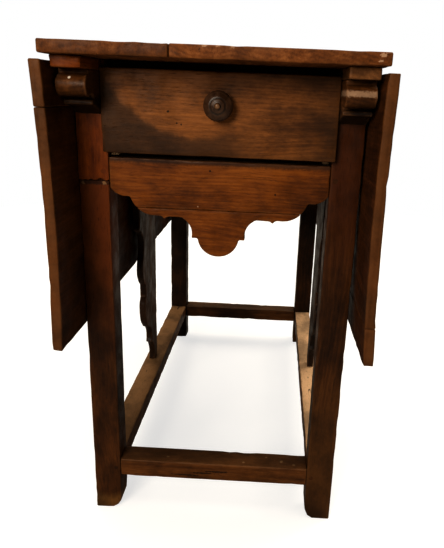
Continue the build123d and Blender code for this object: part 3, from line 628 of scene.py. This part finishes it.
stretcher_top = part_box("front_stretcher")[1].z


# The stretchers are painted paler on their top faces, the right one most.
def pale_top(paint, amount):
    return slope_coat(paint, UP, stretcher_top - 0.0035, stretcher_top - 0.0010, amount, 0.002)


front_rail_low, front_rail_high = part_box("front_stretcher")
DENT = (0.30, 0.18, 0.085)
HOLE_DARK = (0.006, 0.003, 0.002)
rail_marks = [spot_coat(HOLE_DARK, Vector((x, front_rail_low.y, z)), 0.0016, 0.85, 0.004, (0.07, 1, 1))
              for x, z in ((-0.016, 0.079), (0.004, 0.083), (-0.050, 0.074))]
rail_marks += [spot_coat(DENT, Vector((x, y, stretcher_top)), radius, 0.7, 0.008)
               for x, y, radius in ((0.116, -0.380, 0.0035), (0.050, -0.388, 0.0025),
                                    (0.090, -0.370, 0.0022), (-0.080, -0.383, 0.0025),
                                    (0.137, -0.388, 0.0025))]
frame_board("front_stretcher", "X", 30, RAIL_TONES, TENON, rub=0.45,
            coat=layered(pale_top((0.125, 0.060, 0.024), 0.6), *rail_marks))
for node, grain, seed, rub, top_paint, amount in (
        ("back_stretcher", "X", 31, 0.45, (0.15, 0.080, 0.036), 0.7),
        ("left_stretcher", "Y", 33, 0.45, (0.330, 0.190, 0.088), 0.85),
        ("right_stretcher", "Y", 34, 0.6, (0.700, 0.470, 0.280), 0.95)):
    frame_board(node, grain, seed, RAIL_TONES, TENON, rub=rub, coat=pale_top(top_paint, amount))
for seed, node in enumerate(("left_apron", "right_apron")):
    frame_board(node, "Y", 36 + seed, FRAME_TONES, TENON)
frame_board("back_apron", "X", 39, FRAME_TONES, TENON)
for seed, node in enumerate(("front_right_cleat", "back_left_cleat", "back_right_cleat")):
    frame_board(node, "Y", 40 + seed, CLEAT_TONES, step=0.005)
frame_board("front_left_cleat", "Y", 44, RED_CLEAT_TONES, step=0.005)
patch = frame_board("front_left_leg_patch", "Z", 46, RED_TONES, arris_size=0.0006, step=0.003,
                    knocks=0.0006, rub=0.15)
CRUMBLE_TALL, CRUMBLE_DEEP = 0.006, 0.0045
for v in patch.data.vertices:
    below = max(0, 1 - (v.co.z - patch_low.z) / CRUMBLE_TALL)
    bite = max(0, noise.noise(Vector((v.co.x * 160, v.co.y * 90, 1.7))) + 0.25)
    v.co.z += below * CRUMBLE_DEEP * bite
print("frame boards:", count(frame_boards), "faces")

# %% [markdown]
# ## The drawer
# The drawer front is a figured board, greyer than the rest, that stands proud of the legs. Its box
# behind it is bare secondary wood. Its lower left corner is darker heartwood with a curved border,
# laid on as paint outside a circle, which bends the way a real year ring does.

# %% Drawer boards
DRAWER_TONES = ((0.105, 0.0370, 0.0080), (0.190, 0.0700, 0.0150), (0.270, 0.1060, 0.0260))
BARE_TONES = ((0.20, 0.12, 0.060), (0.34, 0.22, 0.12), (0.46, 0.32, 0.19))
# A grey brown for the darker heartwood of the drawer front, for its darker ends and lower edge, and for a
# painted shadow along its top.
GREY_STAIN_AND_SHADE = (0.043, 0.0180, 0.0055)
drawer_low, drawer_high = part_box("drawer_front")
HEARTWOOD = (-0.026, 0.0, 0.790)
worm_holes = [spot_coat(HOLE_DARK, Vector((x, drawer_low.y, z)), radius, 0.9, 0.003)
              for x, z, radius in ((-0.070, 0.670, 0.0018), (-0.058, 0.655, 0.0014),
                                   (-0.052, 0.6535, 0.0012))]
right_end = drawer_high.x
drawer_coat = layered(outside_coat(GREY_STAIN_AND_SHADE, HEARTWOOD, 0.147, 0.012, (-0.02, 0.07), 0.80, 0.022),
                      slope_coat(GREY_STAIN_AND_SHADE, (-1, 0, 0), 0.125, 0.158, 0.55, 0.03),
                      slope_coat(GREY_STAIN_AND_SHADE, (1, 0, 0), right_end - 0.060, right_end - 0.005, 0.60, 0.05),
                      # Painted shadow of the overhanging top along the drawer front's upper edge.
                      slope_coat(GREY_STAIN_AND_SHADE, UP, 0.690, 0.724, 0.35, 0.04),
                      slope_coat(GREY_STAIN_AND_SHADE, DOWN, -0.628, -0.611, 0.40, 0.02), *worm_holes)
frame_board("drawer_front", "X", 50, DRAWER_TONES, step=0.008, arris_size=0.0018, rub=0.2, mottle=0.48,
            coat=drawer_coat)
for seed, node in enumerate(("drawer_left_side", "drawer_right_side", "drawer_bottom", "drawer_back")):
    grain = "X" if node in ("drawer_bottom", "drawer_back") else "Y"
    frame_board(node, grain, 52 + seed, BARE_TONES, arris_size=0.001, rub=0.2, shine=0.7)

# %% [markdown]
# ## Carved pieces
# The aprons, corbels and swing brackets have sawn outlines. Their frame node already has the right
# outline, so a copy of it is the start: its loose triangles are merged, the copy is remeshed into a
# fine even skin, its arrises are softened by smoothing, and it is weathered like a board.

# %% Carving tools
def arris_points(piece, spacing=0.002):
    """Points along all the sharp edges of a merged copy."""
    net = bmesh.new()
    net.from_mesh(piece.data)
    found = []
    for edge in net.edges:
        if len(edge.link_faces) == 2 and edge.calc_face_angle() > math.radians(40):
            first, last = edge.verts[0].co, edge.verts[1].co
            parts = max(1, round((last - first).length / spacing))
            found += [first.lerp(last, i / parts) for i in range(parts + 1)]
    net.free()
    tree = kdtree.KDTree(len(found))
    for i, point in enumerate(found):
        tree.insert(point, i)
    tree.balance()
    return tree


def carved(node, voxel, unevenness=0.0005, knocks=0.0012, rounding=4):
    piece = bpy.data.objects.new(node + "_wood", nodes[node].data.copy())
    bpy.context.scene.collection.objects.link(piece)
    only(piece)
    bpy.ops.object.mode_set(mode="EDIT")
    bpy.ops.mesh.select_all(action="SELECT")
    bpy.ops.mesh.remove_doubles(threshold=0.00001)
    bpy.ops.mesh.customdata_custom_splitnormals_clear()
    bpy.ops.object.mode_set(mode="OBJECT")
    sharp = arris_points(piece)
    skin = piece.modifiers.new("skin", "REMESH")
    skin.mode, skin.voxel_size = "VOXEL", voxel
    bpy.ops.object.modifier_apply(modifier="skin")
    soft = piece.modifiers.new("soft", "SMOOTH")
    soft.factor, soft.iterations = 0.5, rounding
    bpy.ops.object.modifier_apply(modifier="soft")
    distances = [sharp.find(v.co)[2] for v in piece.data.vertices]
    stored = piece.data.attributes.new("arris_distance", "FLOAT", "POINT")
    stored.data.foreach_set("value", distances)
    facing = piece.data.attributes.new("end_face", "FLOAT", "POINT")
    facing.data.foreach_set("value", [abs(v.normal.y) for v in piece.data.vertices])
    group = piece.vertex_groups.new(name="arris")
    for v, distance in zip(piece.data.vertices, distances):
        if distance < 2.2 * voxel:
            group.add([v.index], 1 - distance / (2.2 * voxel), "REPLACE")
    weather(piece, unevenness, knocks)
    return piece


def from_attribute(tree, place):
    return stored_arris_distance(tree)


def painted_shade_ends(tree, place, colour, smudges):
    """Painted shade on the sawn edges of a bracket, the faces that look along Y."""
    facing = make(tree, "Attribute", attribute_name="end_face").outputs["Fac"]
    return mixed(tree, band(tree, facing, 0.35, 0.60, 0.0, 0.8), colour, tone(*SHADE_AND_FOOT_BLACK))


# %% Carved pieces
carvings = []
corbel_low, corbel_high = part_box("front_left_corbel")
plaster = Vector(((corbel_low.x + corbel_high.x) / 2 - 0.002, corbel_low.y + 0.004, corbel_high.z - 0.011))
# Painted shade: the front corbels go near black below about 0.68 m, where the shade under them falls.
UNDER_CORBEL_SHADE = slope_coat(SHADE_AND_FOOT_BLACK, DOWN, -0.690, -0.680, 0.85, 0.004)
front_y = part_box("front_apron_board")[0].y
nail_holes = [spot_coat(HOLE_DARK, Vector((x, front_y, z)), 0.0016, 0.9, 0.002)
              for x, z in ((-0.013, 0.590), (0.082, 0.560))]
marks = {"front_left_corbel": layered(UNDER_CORBEL_SHADE, spot_coat((0.75, 0.66, 0.55), plaster, 0.0022, 1.0, 0.002)),
         # Worn wood and a painted highlight: a pale ragged strip across the roll of the right front corbel.
         "front_right_corbel": layered(UNDER_CORBEL_SHADE, strip_coat(CHIP_AND_HIGHLIGHT_PALE, UP, 0.6990, 0.7060, 0.0010, 0.85, 0.009)),
         "left_flag": painted_shade_ends,
         "right_flag": painted_shade_ends,
         # Painted shadow of the proud drawer front: a dark strip along the top of the apron board.
         "front_apron_board": layered(strip_coat(SHADE_AND_FOOT_BLACK, UP, 0.5975, 0.610, 0.003, 0.75, 0.006),
                                      spot_coat(CHIP_AND_HIGHLIGHT_PALE, Vector((-0.030, front_y, 0.538)), 0.0014, 0.9, 0.003),
                                      *nail_holes)}
for node, voxel, grain, tones, seed, rub in (
        ("front_apron_board", 0.0014, "X", APRON_TONES, 60, 0.35),
        ("front_apron_pendant", 0.0014, "X", APRON_TONES, 61, 0.35),
        ("front_left_corbel", 0.0012, "Y", RAIL_TONES, 62, 0.45),
        ("front_right_corbel", 0.0012, "Y", RAIL_TONES, 63, 0.6),
        ("back_left_corbel", 0.0014, "Y", RAIL_TONES, 64, 0.5),
        ("back_right_corbel", 0.0014, "Y", RAIL_TONES, 65, 0.5),
        ("left_flag", 0.0022, "Z", RAIL_TONES, 66, 0.3),
        ("right_flag", 0.0022, "Z", FRAME_TONES, 67, 0.3)):
    piece = carved(node, voxel)
    mottle = 0.42 if "apron" in node else 0.30
    settle(piece, node, walnut(node, tones, grain, seed, from_attribute, rub=rub, mottle=mottle,
                               coat=marks.get(node)))
    carvings.append(piece)
print("carved pieces:", count(carvings), "faces")

# %% [markdown]
# ## What stays from the frame
# Pegs, pins, runners and hinges have their right shape already and are small or hidden, so they keep
# the frame's meshes and only get their finish. The knob was turned on a pole lathe, so its finish
# runs in rings round its own axis.

# %% Iron and plain finishes
def iron(name):
    """Black wrought iron with rust in its pits."""
    material = bpy.data.materials.new(name)
    material.use_nodes = True
    tree = material.node_tree
    shader = tree.nodes["Principled BSDF"]
    place = make(tree, "TexCoord").outputs["Object"]
    pits = cloud(tree, place, 420.0, 4.0, 0.7)
    patches = cloud(tree, place, 55.0, 4.0, 0.6)
    rust = band(tree, patches, 0.48, 0.62)
    colour = mixed(tree, rust, tone(0.028, 0.024, 0.022), tone(0.100, 0.036, 0.014))
    colour = mixed(tree, band(tree, pits, 0.35, 0.60, 0.7, 0.0), colour, tone(0.010, 0.007, 0.006))
    tree.links.new(colour, shader.inputs["Base Color"])
    tree.links.new(band(tree, rust, 0, 1, 0.45, 0.85), shader.inputs["Roughness"])
    tree.links.new(band(tree, rust, 0, 1, 0.75, 0.1), shader.inputs["Metallic"])
    bump = make(tree, "Bump", {"Strength": 0.5, "Distance": 0.0004, "Height": pits})
    tree.links.new(bump.outputs["Normal"], shader.inputs["Normal"])
    return material


def no_arris(tree, place):
    return 1.0


def turned(name, axis_x, axis_z):
    """Dark wood off a pole lathe: rings round the axis, a polish from many hands, and a painted highlight
    on the tip.
    """
    material = bpy.data.materials.new(name)
    material.use_nodes = True
    tree = material.node_tree
    shader = tree.nodes["Principled BSDF"]
    place = make(tree, "TexCoord").outputs["Object"]
    flat = make(tree, "VectorMath", {0: place, 1: (1, 0, 1)}, operation="MULTIPLY").outputs[0]
    axis = (axis_x, 0, axis_z)
    radius = make(tree, "VectorMath", {0: flat, 1: axis}, operation="DISTANCE").outputs["Value"]
    tool_marks = maths(tree, "SINE", maths(tree, "MULTIPLY", radius, 3600.0))
    smudges = cloud(tree, place, 90.0, 4.0, 0.6)
    colour = mixed(tree, band(tree, smudges, 0.35, 0.65), tone(0.030, 0.0125, 0.0050),
                   tone(0.066, 0.030, 0.013))
    # Worn wood and a painted highlight: the tip of the knob is painted pale.
    tint_share = band(tree, radius, 0.0045, 0.0020)
    colour = mixed(tree, maths(tree, "MULTIPLY", tint_share, 0.6), colour, tone(0.26, 0.14, 0.065))
    # Painted shade in the groove round the dome; the tool marks add darker rings.
    groove = maths(tree, "MINIMUM", band(tree, radius, 0.0085, 0.0098), band(tree, radius, 0.0122, 0.0108))
    rings_and_groove_shade = maths(tree, "MAXIMUM", maths(tree, "MULTIPLY", band(tree, tool_marks, 0.75, 1.0), 0.3),
                    maths(tree, "MULTIPLY", groove, 0.75))
    colour = mixed(tree, rings_and_groove_shade, colour, tone(0.010, 0.005, 0.002))
    tree.links.new(colour, shader.inputs["Base Color"])
    tree.links.new(band(tree, smudges, 0.35, 0.65, 0.26, 0.42), shader.inputs["Roughness"])
    shader.inputs["Specular IOR Level"].default_value = 0.30
    relief = maths(tree, "ADD", maths(tree, "MULTIPLY", tool_marks, 0.25), smudges)
    relief = maths(tree, "SUBTRACT", relief, maths(tree, "MULTIPLY", groove, 2.0))
    bump = make(tree, "Bump", {"Strength": 0.35, "Distance": 0.0005, "Height": relief})
    tree.links.new(bump.outputs["Normal"], shader.inputs["Normal"])
    return material


# Painted shade: the inner wood goes near black towards the front, in the gap above the drawer.
painted_shade_front = slope_coat(SHADE_AND_FOOT_BLACK, (0, -1, 0), 0.335, 0.365, 0.97, 0.01)
red_peg = spot_coat(RED_TONES[1], (patch_low + patch_high) / 2, 0.060, 1.0)
knob_low, knob_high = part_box("drawer_knob")
knob_middle = (knob_low + knob_high) / 2
stay_finish = {
    "iron": iron("iron"),
    "knob_wood": turned("knob_wood", knob_middle.x, knob_middle.z),
    "inner_wood": walnut("inner_wood", BARE_TONES, "Y", 71, no_arris, shine=0.7, coat=painted_shade_front),
    "frame_walnut": walnut("pins_and_pegs", LEFT_LEG_TONES, "Y", 72, no_arris, coat=red_peg),
}
replaced = {p.name.removesuffix("_wood") for p in tops + leaves + frame_boards + carvings}
for name, obj in nodes.items():
    if name not in replaced:
        for held in obj.material_slots:
            held.material = stay_finish[slot_of_node[name]]
print("kept from the frame:", len(nodes) - len(replaced), "nodes")
